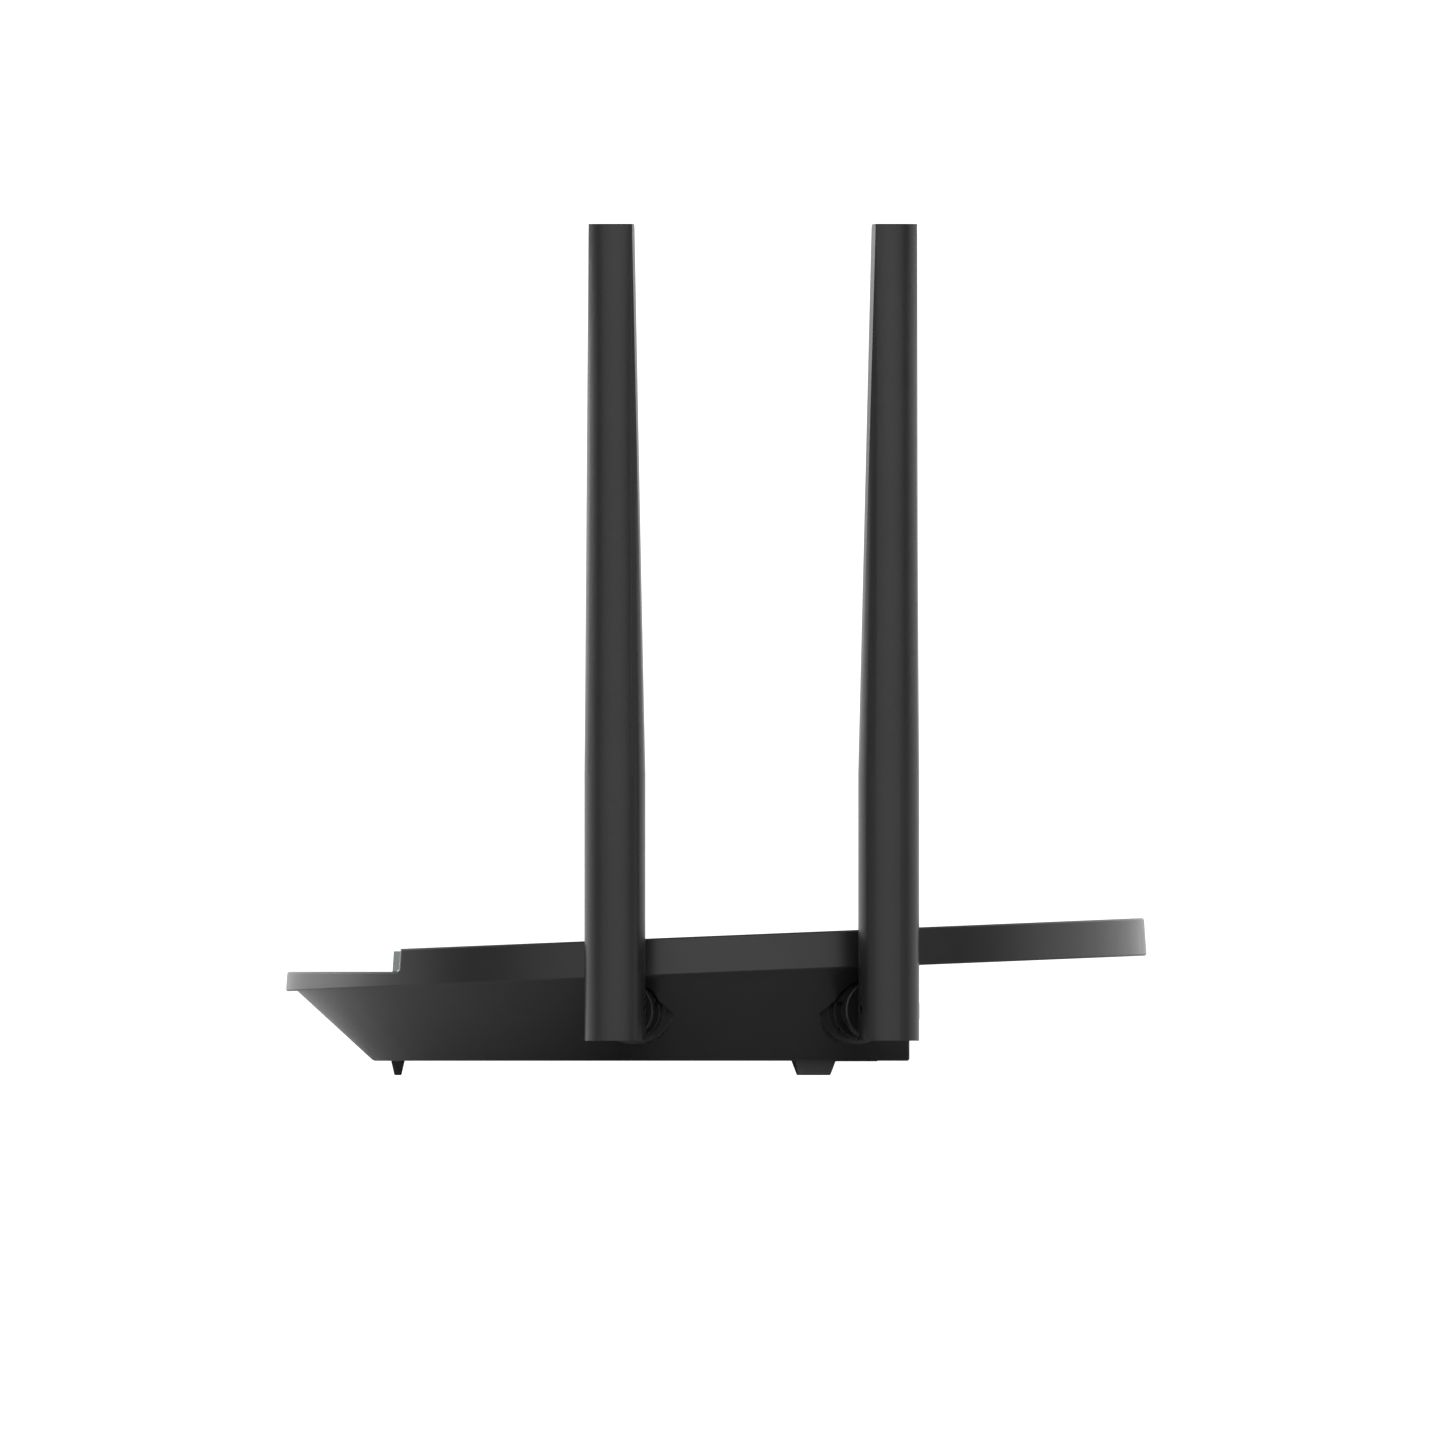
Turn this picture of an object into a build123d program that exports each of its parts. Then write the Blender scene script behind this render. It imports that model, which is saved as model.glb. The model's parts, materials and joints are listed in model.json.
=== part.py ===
from build123d import *
from math import cos, radians, sin, tan
import os

# A wireless router: a round two-shell case on three bar feet, with four swivelling, tilting antennas.
# Millimetres, +Z up. The origin is on the axis of the round case, on the surface that it stands on.
# The front is -X and the socket panel faces +X. Left is +Y and right is -Y.

# Case
CASE_TILT = 2.38  # slope of the seam and of the top face, rising to the back, degrees
SEAM_HEIGHT = 21.6  # of the seam plane on the case axis
COVER_DEPTH = 8.05  # from the seam plane to the top face, measured upright
SKIRT_RADIUS = 91.45  # at the seam height
SKIRT_DRAFT = 4.0  # the skirt widens downwards, degrees
COVER_WALL = 1.8
LIP_HEIGHT = 22.0  # level top of the front lip
STEP_X = -67.5  # riser between the lip and the raised top, halfway up
STEP_LEAN = 4.0  # degrees
EDGE_BEVEL = 0.35
BOWL_RIM_RADIUS = 89.35
BOWL_FLOOR_RADIUS = 73.1
BOWL_FLOOR = 3.04  # height of the underside of the case
BOWL_WALL = 2.0
BOWL_WALL_ACROSS = 2.9  # the same wall of the slanting side, measured level
FLANGE = 1.3
FLANGE_GAP = 0.12
PANEL_X = 40.8  # outside of the socket panel
LIGHT_DEPTH = 1.4  # how far the light window stands out of the step
LIGHT_TOP = 26.35
LED_X = -62.4  # face of the status LEDs

# Feet
FOOT_CIRCLE = 67.9
FOOT_LENGTH, FOOT_TIP_LENGTH = 9.0, 7.0
FOOT_WIDTH, FOOT_TIP_WIDTH = 2.9, 1.5
FOOT_POCKET = 0.8
FOOT_ANGLES = {"front_foot": 180.0, "rear_left_foot": 72.5, "rear_right_foot": -72.5}

# Antennas: heights upright, distances out from the case axis, spans across the radius
ANTENNA_ANGLES = {"front_left": 102.8, "rear_left": 68.3, "front_right": -102.8, "rear_right": -68.3}
ANTENNA_OUT = 98.4  # hinge pin and tube axis
PIVOT_HEIGHT = 13.88
TUBE_RADIUS = 6.5
TUBE_FOOT = 7.3
TAPER_FOOT = 63.8
TUBE_TOP = 180.9
CREASE_ANGLE = 48.0  # between the round front and the tapering back
BLADE_HALF_WIDTH = 4.74
BLADE_BACK = 2.06  # flat back of the tip, out from the tube axis
PARTING_OUT = 4.45  # parting plane between the tube's front and its back cover, out from the tube axis
PARTING_GAP = 0.08  # joint line left open along the back cover
TUBE_WALL = 1.8
SLOT_HALF_WIDTH = 2.8
SLOT_REACH = 4.7
HEEL_SWEEP = 8.3  # the tube's inner heel stays within this distance of the hinge pin
TONGUE_HALF_WIDTH = 2.5
TONGUE_RADIUS = 4.3
PIN_RADIUS = 1.0
PIN_CLEARANCE = 0.05
PIN_HALF_LENGTH = 4.8

# Swivel: distances out from the case axis
MOUNT_BACK, MOUNT_FACE = 75.5, 80.5
MOUNT_HALF_WIDTH, MOUNT_DROP = 8.9, 7.3
MOUNT_CORNER = -0.7  # widest point of the mount, up from the swivel axis
MOUNT_TOP = 7.6
BARREL_RADIUS = 6.3
BARREL_GAP = 0.3
BARREL_BACK, NECK_BACK, DISC_BACK, DISC_FACE = 80.75, 83.1, 87.6, 89.7
NECK_RADIUS = 4.7
NECK_TOP = 1.7  # the neck is only relieved below this, up from the swivel axis
SHAFT_RADIUS, SHAFT_CLEARANCE, SHAFT_END = 3.4, 0.05, 72.8
GROOVE_RADIUS = 2.9
GROOVE_BACK, GROOVE_FACE = 74.2, 75.1
LEAD_BORE = 1.6

# Board and what stands on it
BOARD_BACK, BOARD_FRONT = 38.4, -34.0  # X of its edges
BOARD_HALF_WIDTH = 58.5
BOARD_FOOT, BOARD_TOP = 6.4, 8.0
BOARD_SCREWS = [(-28, 50), (-28, -50), (16, 53), (16, -53)]
CASE_SCREWS = [(-50, 42), (-50, -42), (6, 65), (6, -65)]
POST_RADIUS = 4.2
COUNTERBORE = 7.0
POST_SPLIT = 14.0  # height where the lower and the upper posts meet

# Socket panel, Y of each centre
JACK_WIDTH, JACK_HEIGHT, JACK_DEPTH = 15.6, 13.2, 18.0
JACK_Y = {"wan_port": -23.5, "lan_port_1": -5.0, "lan_port_2": 11.0, "lan_port_3": 27.0, "lan_port_4": 43.0}
JACK_FACE = PANEL_X + 0.1
PANEL_GAP = 0.12
POWER_JACK_Y, POWER_JACK_WIDTH, POWER_JACK_HEIGHT, POWER_JACK_DEPTH = -41.0, 9.0, 11.0, 14.0
POWER_BORE_RADIUS, POWER_PIN_RADIUS = 3.05, 1.0
POWER_BUTTON_Y, POWER_BUTTON_SIZE, POWER_BUTTON_TRAVEL = -53.3, 7.0, 1.8
POWER_BUTTON_PROUD = 2.0
RESET_Y, RESET_HOLE_RADIUS = -33.4, 1.1
WPS_Y, WPS_RADIUS = 55.6, 2.6
BUTTON_Z = 13.5
BUTTON_GAP = 0.25
PLUG_WIDTH, PLUG_HEIGHT, PLUG_DEPTH, PLUG_RISE = 11.8, 7.4, 13.0, 1.1
POWER_BORE_DEPTH = 10.0
POWER_CAP_BACK, POWER_STEM_END = 36.6, 28.5
WPS_BACK = 36.6
RESET_PLUNGER_RADIUS, RESET_FACE = 0.9, 33.5

# Coax leads: each point as distance out, distance across, height
LEAD_RADIUS, LEAD_BEND = 0.7, 7.0
LEAD_ROUTE = [(43, 0, 10.0), (50, 1.6, 10.4), (60, 0, PIVOT_HEIGHT), (84, 0, PIVOT_HEIGHT)]


# Named planes and small formulas
def tilted(height):
    """The plane parallel to the top face that crosses the case axis at a height."""
    t = radians(CASE_TILT)
    return Plane(origin=(0, 0, height), x_dir=(cos(t), 0, sin(t)), z_dir=(-sin(t), 0, cos(t)))


def radial(angle, out, height):
    """An upright plane facing away from the case axis: x runs across, y runs up."""
    a = radians(angle)
    return Plane(origin=(out * cos(a), out * sin(a), height), x_dir=(-sin(a), cos(a), 0),
                 z_dir=(cos(a), sin(a), 0))


def tilted_height(height, x):
    return height + x * tan(radians(CASE_TILT))


def bowl_radius(height):
    slope = (BOWL_RIM_RADIUS - BOWL_FLOOR_RADIUS) / (SEAM_HEIGHT - BOWL_FLOOR)
    return BOWL_FLOOR_RADIUS + slope * (height - BOWL_FLOOR)


def skirt_section(inset, low, high):
    """Half section of the drafted skirt, less an inset, between two heights."""
    slope = tan(radians(SKIRT_DRAFT))
    with BuildSketch(Plane.XZ) as section:
        with BuildLine():
            Polyline((0, low), (SKIRT_RADIUS - inset - slope * (low - SEAM_HEIGHT), low),
                     (SKIRT_RADIUS - inset - slope * (high - SEAM_HEIGHT), high), (0, high), close=True)
        make_face()
    return section.sketch


def cover_section(wall, foot):
    """Side outline of the cover, drawn in by a wall, with its foot below the seam plane."""
    reach = SKIRT_RADIUS + 10
    lean = tan(radians(STEP_LEAN)) * 2.5
    top = SEAM_HEIGHT + COVER_DEPTH - wall
    with BuildSketch(Plane.XZ) as section:
        with BuildLine():
            Polyline((-reach, tilted_height(SEAM_HEIGHT - foot, -reach)),
                     (-reach, LIP_HEIGHT - wall),
                     (STEP_X + wall - lean, LIP_HEIGHT - wall),
                     (STEP_X + wall + lean, tilted_height(top, STEP_X + wall + lean)),
                     (reach, tilted_height(top, reach)),
                     (reach, tilted_height(SEAM_HEIGHT - foot, reach)), close=True)
        make_face()
    return section.sketch


def write(name, part):
    part.label = name
    export_step(part, f"parts/{name}.step")


os.makedirs("parts", exist_ok=True)
LOW, HIGH = 5.0, 45.0  # heights that clear the cover below and above


# Top cover: plate, skirt and front lip in one shell, with four screw posts
with BuildPart() as cover_hollow:
    extrude(cover_section(COVER_WALL, 1.0), amount=SKIRT_RADIUS + 10, both=True)
    revolve(skirt_section(COVER_WALL, LOW, HIGH), axis=Axis.Z, mode=Mode.INTERSECT)

with BuildPart() as top_cover:
    extrude(cover_section(0, 0), amount=SKIRT_RADIUS + 10, both=True)
    revolve(skirt_section(0, LOW, HIGH), axis=Axis.Z, mode=Mode.INTERSECT)
    step_edge = top_cover.edges().filter_by(Axis.Y).sort_by(Axis.Z)[1:2]
    chamfer(top_cover.edges() - step_edge, EDGE_BEVEL)
    add(cover_hollow.part, mode=Mode.SUBTRACT)
    with BuildSketch(Plane.XY.offset(POST_SPLIT)):
        with Locations(*CASE_SCREWS):
            Circle(POST_RADIUS - 0.7)
    extrude(until=Until.NEXT)
    with BuildSketch(Plane.XY.offset(POST_SPLIT)):
        with Locations(*CASE_SCREWS):
            Circle(1.25)
    extrude(amount=9, mode=Mode.SUBTRACT)
    # ribs behind the LED board
    with BuildSketch(Plane.XY.offset(SEAM_HEIGHT - 1)):
        with Locations((LED_X + 3.0, 0)):
            with GridLocations(1, 48, 1, 2):
                Rectangle(2.4, 5)
    extrude(until=Until.NEXT)
    # slot in the riser that lets the status light through to the window
    with BuildSketch(Plane.YZ.offset(STEP_X - 3)):
        with Locations((0, (LIP_HEIGHT + LIGHT_TOP) / 2)):
            Rectangle(70, 2.2)
    extrude(amount=6, mode=Mode.SUBTRACT)
write("top_cover", top_cover.part)


# Light window: a translucent bar across the foot of the step, its ends following the skirt
with BuildPart() as light_window:
    lean = tan(radians(STEP_LEAN)) * 2.5
    relief = EDGE_BEVEL + 0.1
    with BuildSketch(Plane.XZ):
        with BuildLine():
            Polyline((STEP_X - lean - LIGHT_DEPTH, LIP_HEIGHT), (STEP_X - lean - relief, LIP_HEIGHT),
                     (STEP_X - lean, LIP_HEIGHT + relief), (STEP_X + 0.7 * lean, LIGHT_TOP),
                     (STEP_X + 0.7 * lean - LIGHT_DEPTH, LIGHT_TOP),
                     close=True)
        make_face()
    extrude(amount=SKIRT_RADIUS, both=True)
    revolve(skirt_section(0.25, LOW, HIGH), axis=Axis.Z, mode=Mode.INTERSECT)
write("light_window", light_window.part)

# Behind the window: a clear guide, then the LEDs on their own little board with its flat cable
LIGHT_AXIS = (LIP_HEIGHT + LIGHT_TOP) / 2
with BuildPart() as light_guide:
    with BuildSketch(Plane.YZ.offset(STEP_X + 0.1)):
        with Locations((0, LIGHT_AXIS)):
            Rectangle(69, 1.8)
    extrude(amount=LED_X - STEP_X - 0.1)
write("light_guide", light_guide.part)

with BuildPart() as status_leds:
    with BuildSketch(Plane.YZ.offset(LED_X)):
        with Locations((0, LIGHT_AXIS)):
            with GridLocations(12, 1, 5, 1):
                Rectangle(3.0, 1.4)
    extrude(amount=0.8)
write("status_leds", status_leds.part)

with BuildPart() as led_board:
    with BuildSketch(Plane.YZ.offset(LED_X + 0.8)):
        with Locations((0, LIGHT_AXIS + 0.7)):
            Rectangle(60, 6.0, align=(Align.CENTER, Align.MAX))
    extrude(amount=1.0)
write("led_board", led_board.part)

with BuildPart() as led_cable:
    with BuildLine(Plane.XZ):
        FilletPolyline((LED_X + 2.0, LIGHT_AXIS - 1), (LED_X + 2.0, 14.5), (-48, 10.2), (-34, 10.2),
                       (-31, BOARD_TOP + 0.2), (-28, BOARD_TOP + 0.2), radius=[2.5, 12, 2, 2])
    with BuildSketch(Plane(origin=(LED_X + 2.0, 0, LIGHT_AXIS - 1), z_dir=(0, 0, -1))):
        Rectangle(0.3, 8)
    sweep()
write("led_cable", led_cable.part)


# Lower case: slanting bowl, level floor, upright socket panel and the flange that closes the cover
with BuildPart() as bowl_hollow:
    with BuildSketch(Plane.XY.offset(BOWL_FLOOR + BOWL_WALL)):
        Circle(bowl_radius(BOWL_FLOOR + BOWL_WALL) - BOWL_WALL_ACROSS)
    with BuildSketch(tilted(SEAM_HEIGHT + FLANGE + 0.5)):
        Circle(bowl_radius(SEAM_HEIGHT + FLANGE + 0.5) - BOWL_WALL_ACROSS)
    loft()
    split(bisect_by=Plane.YZ.offset(PANEL_X - BOWL_WALL), keep=Keep.BOTTOM)

with BuildPart() as flange:
    with BuildSketch(tilted(SEAM_HEIGHT)):
        Circle(SKIRT_RADIUS + 5)
    extrude(amount=FLANGE)
    revolve(skirt_section(COVER_WALL + FLANGE_GAP, LOW, HIGH), axis=Axis.Z, mode=Mode.INTERSECT)

with BuildPart() as lower_case:
    with BuildSketch(Plane.XY.offset(BOWL_FLOOR)):
        Circle(BOWL_FLOOR_RADIUS)
    with BuildSketch(tilted(SEAM_HEIGHT)):
        Circle(BOWL_RIM_RADIUS)
    loft()
    split(bisect_by=Plane.YZ.offset(PANEL_X), keep=Keep.BOTTOM)
    panel_edges = lower_case.faces().sort_by(Axis.X)[-1].edges()
    floor_edges = lower_case.faces().sort_by(Axis.Z)[0].edges()
    chamfer(floor_edges + panel_edges.sort_by(Axis.Z)[1:3], EDGE_BEVEL)
    add(flange.part)
    add(bowl_hollow.part, mode=Mode.SUBTRACT)

    # antenna mounts: a flat-faced boss below, a recess in the slanting wall above
    arc_radius = (MOUNT_HALF_WIDTH**2 + (MOUNT_DROP + MOUNT_CORNER) ** 2) / (2 * (MOUNT_DROP + MOUNT_CORNER))
    barrel_cut = BARREL_RADIUS + BARREL_GAP
    for angle in ANTENNA_ANGLES.values():
        with BuildSketch(radial(angle, MOUNT_BACK, PIVOT_HEIGHT)):
            with Locations((0, arc_radius - MOUNT_DROP)):
                Circle(arc_radius)
            with Locations((0, MOUNT_TOP)):
                Rectangle(40, 20, align=(Align.CENTER, Align.MIN), mode=Mode.SUBTRACT)
        extrude(amount=MOUNT_FACE - MOUNT_BACK)
        with BuildSketch(radial(angle, MOUNT_FACE, PIVOT_HEIGHT)):
            Circle(barrel_cut)
            with BuildLine():
                Polyline((-MOUNT_HALF_WIDTH, MOUNT_CORNER), (MOUNT_HALF_WIDTH, MOUNT_CORNER),
                         (5.8, 2.4), (-5.8, 2.4), close=True)
            make_face()
            with Locations((0, MOUNT_CORNER)):
                Rectangle(2 * MOUNT_HALF_WIDTH, 5, align=(Align.CENTER, Align.MAX))
        extrude(amount=12, mode=Mode.SUBTRACT)
        with BuildSketch(radial(angle, MOUNT_BACK, PIVOT_HEIGHT)):
            Circle(SHAFT_RADIUS + SHAFT_CLEARANCE)
        extrude(amount=MOUNT_FACE - MOUNT_BACK, mode=Mode.SUBTRACT)

    # screw posts for the cover and the board
    with BuildSketch(Plane.XY.offset(BOWL_FLOOR + 0.5)):
        with Locations(*CASE_SCREWS):
            Circle(POST_RADIUS)
    extrude(amount=POST_SPLIT - BOWL_FLOOR - 0.5)
    with BuildSketch(Plane.XY.offset(BOWL_FLOOR + 0.5)):
        with Locations(*BOARD_SCREWS):
            Circle(3.0)
    extrude(amount=BOARD_FOOT - BOWL_FLOOR - 0.5)
    with BuildSketch(Plane.XY.offset(BOARD_FOOT)):
        with Locations(*BOARD_SCREWS):
            Circle(0.9)
    extrude(amount=-2.5, mode=Mode.SUBTRACT)
    with BuildSketch(Plane.XY.offset(BOWL_FLOOR)):
        with Locations(*CASE_SCREWS):
            Circle(2.9)
    extrude(amount=COUNTERBORE, mode=Mode.SUBTRACT)
    with BuildSketch(Plane.XY.offset(BOWL_FLOOR)):
        with Locations(*CASE_SCREWS):
            Circle(1.7)
    extrude(amount=POST_SPLIT, mode=Mode.SUBTRACT)

    # openings of the socket panel
    with BuildSketch(Plane.YZ.offset(PANEL_X - BOWL_WALL - 1)):
        for y in JACK_Y.values():
            with Locations((y, BOARD_TOP + JACK_HEIGHT / 2)):
                Rectangle(JACK_WIDTH + 2 * PANEL_GAP, JACK_HEIGHT + 2 * PANEL_GAP)
        with Locations((POWER_JACK_Y, BOARD_TOP + POWER_JACK_HEIGHT / 2)):
            Rectangle(POWER_JACK_WIDTH + 2 * PANEL_GAP, POWER_JACK_HEIGHT + 2 * PANEL_GAP)
        with Locations((POWER_BUTTON_Y, BUTTON_Z)):
            Rectangle(POWER_BUTTON_SIZE + 2 * BUTTON_GAP, POWER_BUTTON_SIZE + 2 * BUTTON_GAP)
        with Locations((WPS_Y, BUTTON_Z)):
            Circle(WPS_RADIUS + BUTTON_GAP)
        with Locations((RESET_Y, BUTTON_Z)):
            Circle(RESET_HOLE_RADIUS)
    extrude(amount=BOWL_WALL + 2, mode=Mode.SUBTRACT)

    # cooling slots in the floor and in the overhanging flange behind the panel
    with BuildSketch(Plane.XY.offset(BOWL_FLOOR)):
        for y in (-24, 24):
            with Locations((-8, y)):
                with GridLocations(5, 1, 9, 1):
                    SlotOverall(26, 2, rotation=90)
    extrude(amount=BOWL_WALL, mode=Mode.SUBTRACT)
    with BuildSketch(Plane.XY.offset(SEAM_HEIGHT - 3)):
        with Locations((66, 0)):
            with GridLocations(1, 6, 1, 13):
                SlotOverall(22, 2)
    extrude(amount=10, mode=Mode.SUBTRACT)

    # pockets for the feet
    for angle in FOOT_ANGLES.values():
        with BuildSketch(Plane.XY.offset(BOWL_FLOOR)):
            with Locations(Location((FOOT_CIRCLE * cos(radians(angle)), FOOT_CIRCLE * sin(radians(angle))), angle)):
                Rectangle(FOOT_WIDTH - 0.6, FOOT_LENGTH - 1.0)
        extrude(amount=FOOT_POCKET, mode=Mode.SUBTRACT)
write("lower_case", lower_case.part)


# Feet: rubber bars that narrow downwards, each with a plug in the floor
with BuildPart() as foot:
    with BuildSketch(Plane.XY.offset(BOWL_FLOOR)):
        with Locations((FOOT_CIRCLE, 0)):
            Rectangle(FOOT_WIDTH, FOOT_LENGTH)
    with BuildSketch(Plane.XY):
        with Locations((FOOT_CIRCLE, 0)):
            Rectangle(FOOT_TIP_WIDTH, FOOT_TIP_LENGTH)
    loft()
    fillet(foot.faces().sort_by(Axis.Z)[0].edges(), 0.3)
    with BuildSketch(Plane.XY.offset(BOWL_FLOOR)):
        with Locations((FOOT_CIRCLE, 0)):
            Rectangle(FOOT_WIDTH - 0.6, FOOT_LENGTH - 1.0)
    extrude(amount=FOOT_POCKET)
for name, angle in FOOT_ANGLES.items():
    write(name, Rot(Z=angle) * foot.part)


# Antenna swivel: shaft and barrel on the swivel axis, a disc and the tongue of the tilt hinge
with BuildPart() as swivel:
    with BuildSketch(radial(0, SHAFT_END, PIVOT_HEIGHT)):
        Circle(SHAFT_RADIUS)
    extrude(amount=BARREL_BACK + 1 - SHAFT_END)
    with BuildSketch(radial(0, GROOVE_BACK, PIVOT_HEIGHT)):
        Circle(SHAFT_RADIUS + 1)
        Circle(GROOVE_RADIUS, mode=Mode.SUBTRACT)
    extrude(amount=GROOVE_FACE - GROOVE_BACK, mode=Mode.SUBTRACT)
    with BuildSketch(radial(0, BARREL_BACK, PIVOT_HEIGHT)):
        Circle(BARREL_RADIUS)
    extrude(amount=DISC_FACE - BARREL_BACK)
    chamfer(swivel.faces().sort_by(Axis.X)[-1].edges(), 0.25)
    with BuildSketch(radial(0, NECK_BACK, PIVOT_HEIGHT)):
        with Locations((0, NECK_TOP)):
            Rectangle(4 * BARREL_RADIUS, 2 * BARREL_RADIUS, align=(Align.CENTER, Align.MAX))
        Circle(NECK_RADIUS, mode=Mode.SUBTRACT)
    extrude(amount=DISC_BACK - NECK_BACK, mode=Mode.SUBTRACT)
    with BuildSketch(Plane.XZ.offset(-TONGUE_HALF_WIDTH)):
        with Locations((ANTENNA_OUT, PIVOT_HEIGHT)):
            Circle(TONGUE_RADIUS)
            Rectangle(ANTENNA_OUT - DISC_FACE + 0.5, 2 * TONGUE_RADIUS, align=(Align.MAX, Align.CENTER))
    extrude(amount=2 * TONGUE_HALF_WIDTH)
    with BuildSketch(Plane.XZ.offset(-2 * BARREL_RADIUS)):
        with Locations((ANTENNA_OUT, PIVOT_HEIGHT)):
            Circle(PIN_RADIUS + PIN_CLEARANCE)
        with Locations(((NECK_BACK + DISC_BACK) / 2 + 1.4, PIVOT_HEIGHT)):
            Circle(0.9)
    extrude(amount=4 * BARREL_RADIUS, mode=Mode.SUBTRACT)
    with BuildSketch(radial(0, SHAFT_END, PIVOT_HEIGHT)):
        Circle(LEAD_BORE)
    extrude(amount=ANTENNA_OUT - 4 - SHAFT_END, mode=Mode.SUBTRACT)

with BuildPart() as retainer:
    with BuildSketch(radial(0, GROOVE_BACK + 0.05, PIVOT_HEIGHT)):
        Circle(5.0)
        Circle(GROOVE_RADIUS + 0.05, mode=Mode.SUBTRACT)
        with Locations((0, -5)):
            Rectangle(3.0, 5.0, mode=Mode.SUBTRACT)
    extrude(amount=GROOVE_FACE - GROOVE_BACK - 0.1)

with BuildPart() as hinge_pin:
    with BuildSketch(Plane.XZ.offset(-PIN_HALF_LENGTH)):
        with Locations((ANTENNA_OUT, PIVOT_HEIGHT)):
            Circle(PIN_RADIUS)
    extrude(amount=2 * PIN_HALF_LENGTH)


# Antenna: a round tube that tapers at the back to a flat blade, the taper being a separate back cover
def ring_point(angle):
    return TUBE_RADIUS * cos(radians(angle)), TUBE_RADIUS * sin(radians(angle))


tip_edge = (TUBE_RADIUS**2 - BLADE_HALF_WIDTH**2) ** 0.5  # out from the tube axis
tube_axis = Plane(origin=(ANTENNA_OUT, 0, 0))

with BuildPart() as antenna_form:
    with BuildSketch(tube_axis.offset(TUBE_FOOT)):
        Circle(TUBE_RADIUS)
    extrude(amount=TAPER_FOOT - TUBE_FOOT)
    with BuildSketch(tube_axis.offset(TAPER_FOOT)):
        with BuildLine():
            stops = [-CREASE_ANGLE, CREASE_ANGLE, 92, 180, 268, 360 - CREASE_ANGLE]
            for start, end in zip(stops, stops[1:]):
                middle = (start + end) / 2
                ThreePointArc(ring_point(start), ring_point(middle), ring_point(end))
        make_face()
    with BuildSketch(tube_axis.offset(TUBE_TOP)):
        with BuildLine():
            ThreePointArc((tip_edge, -BLADE_HALF_WIDTH), (TUBE_RADIUS, 0), (tip_edge, BLADE_HALF_WIDTH))
            Polyline((tip_edge, BLADE_HALF_WIDTH), (BLADE_BACK, BLADE_HALF_WIDTH), (BLADE_BACK, 0),
                     (BLADE_BACK, -BLADE_HALF_WIDTH), (tip_edge, -BLADE_HALF_WIDTH))
        make_face()
    loft(ruled=True)

with BuildPart() as antenna_hollow:
    with BuildSketch(tube_axis.offset(TAPER_FOOT)):
        with Locations(((PARTING_OUT - 3.6) / 2, 0)):
            Rectangle(PARTING_OUT + 3.6, 6.8)
    with BuildSketch(tube_axis.offset(TUBE_TOP - 2.5)):
        with Locations(((PARTING_OUT + 3.2) / 2, 0)):
            Rectangle(PARTING_OUT - 3.2, 6.8)
    loft(ruled=True)
    with BuildSketch(tube_axis.offset(PIVOT_HEIGHT + SLOT_REACH + 3)):
        Circle(TUBE_RADIUS - TUBE_WALL)
    extrude(amount=TAPER_FOOT - PIVOT_HEIGHT - SLOT_REACH - 5)
    with BuildSketch(tube_axis.offset(PIVOT_HEIGHT + SLOT_REACH)):
        Circle(1.6)
    extrude(amount=TAPER_FOOT - PIVOT_HEIGHT)

with BuildPart() as antenna_back:
    add(antenna_form.part)
    with BuildSketch(tube_axis):
        Circle(3 * TUBE_RADIUS)
    extrude(amount=TAPER_FOOT, mode=Mode.SUBTRACT)
    with BuildSketch(tube_axis.offset(TAPER_FOOT)):
        with Locations((PARTING_OUT - PARTING_GAP, 0)):
            Rectangle(20, 20, align=(Align.MIN, Align.CENTER))
    extrude(amount=TUBE_TOP, mode=Mode.SUBTRACT)
    add(antenna_hollow.part, mode=Mode.SUBTRACT)
    tip_back = antenna_back.faces().sort_by(Axis.Z)[-1].edges().sort_by(Axis.X)[:2]
    fillet(tip_back.filter_by(Axis.Y), 0.9)

with BuildPart() as antenna_tube:
    add(antenna_form.part)
    with BuildSketch(tube_axis.offset(TAPER_FOOT)):
        with Locations((PARTING_OUT, 0)):
            Rectangle(20, 20, align=(Align.MAX, Align.CENTER))
    extrude(amount=TUBE_TOP, mode=Mode.SUBTRACT)
    chamfer(antenna_tube.faces().sort_by(Axis.Z)[-1].edges(), 0.15)
    add(antenna_hollow.part, mode=Mode.SUBTRACT)
    # hinge slot, open to the case and below, with a rounded heel
    with BuildSketch(Plane.XZ.offset(-SLOT_HALF_WIDTH)):
        with Locations((ANTENNA_OUT + SLOT_REACH, PIVOT_HEIGHT + SLOT_REACH)):
            Rectangle(30, 30, align=(Align.MAX, Align.MAX))
    extrude(amount=2 * SLOT_HALF_WIDTH, mode=Mode.SUBTRACT)
    with BuildSketch(Plane.XZ.offset(-2 * TUBE_RADIUS)):
        with Locations((ANTENNA_OUT, PIVOT_HEIGHT)):
            Rectangle(20, 20, align=(Align.MAX, Align.MAX))
            Circle(HEEL_SWEEP, mode=Mode.SUBTRACT)
    extrude(amount=4 * TUBE_RADIUS, mode=Mode.SUBTRACT)
    with BuildSketch(Plane.XZ.offset(-2 * TUBE_RADIUS)):
        with Locations((ANTENNA_OUT, PIVOT_HEIGHT)):
            Circle(PIN_RADIUS)
    extrude(amount=4 * TUBE_RADIUS, mode=Mode.SUBTRACT)

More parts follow.
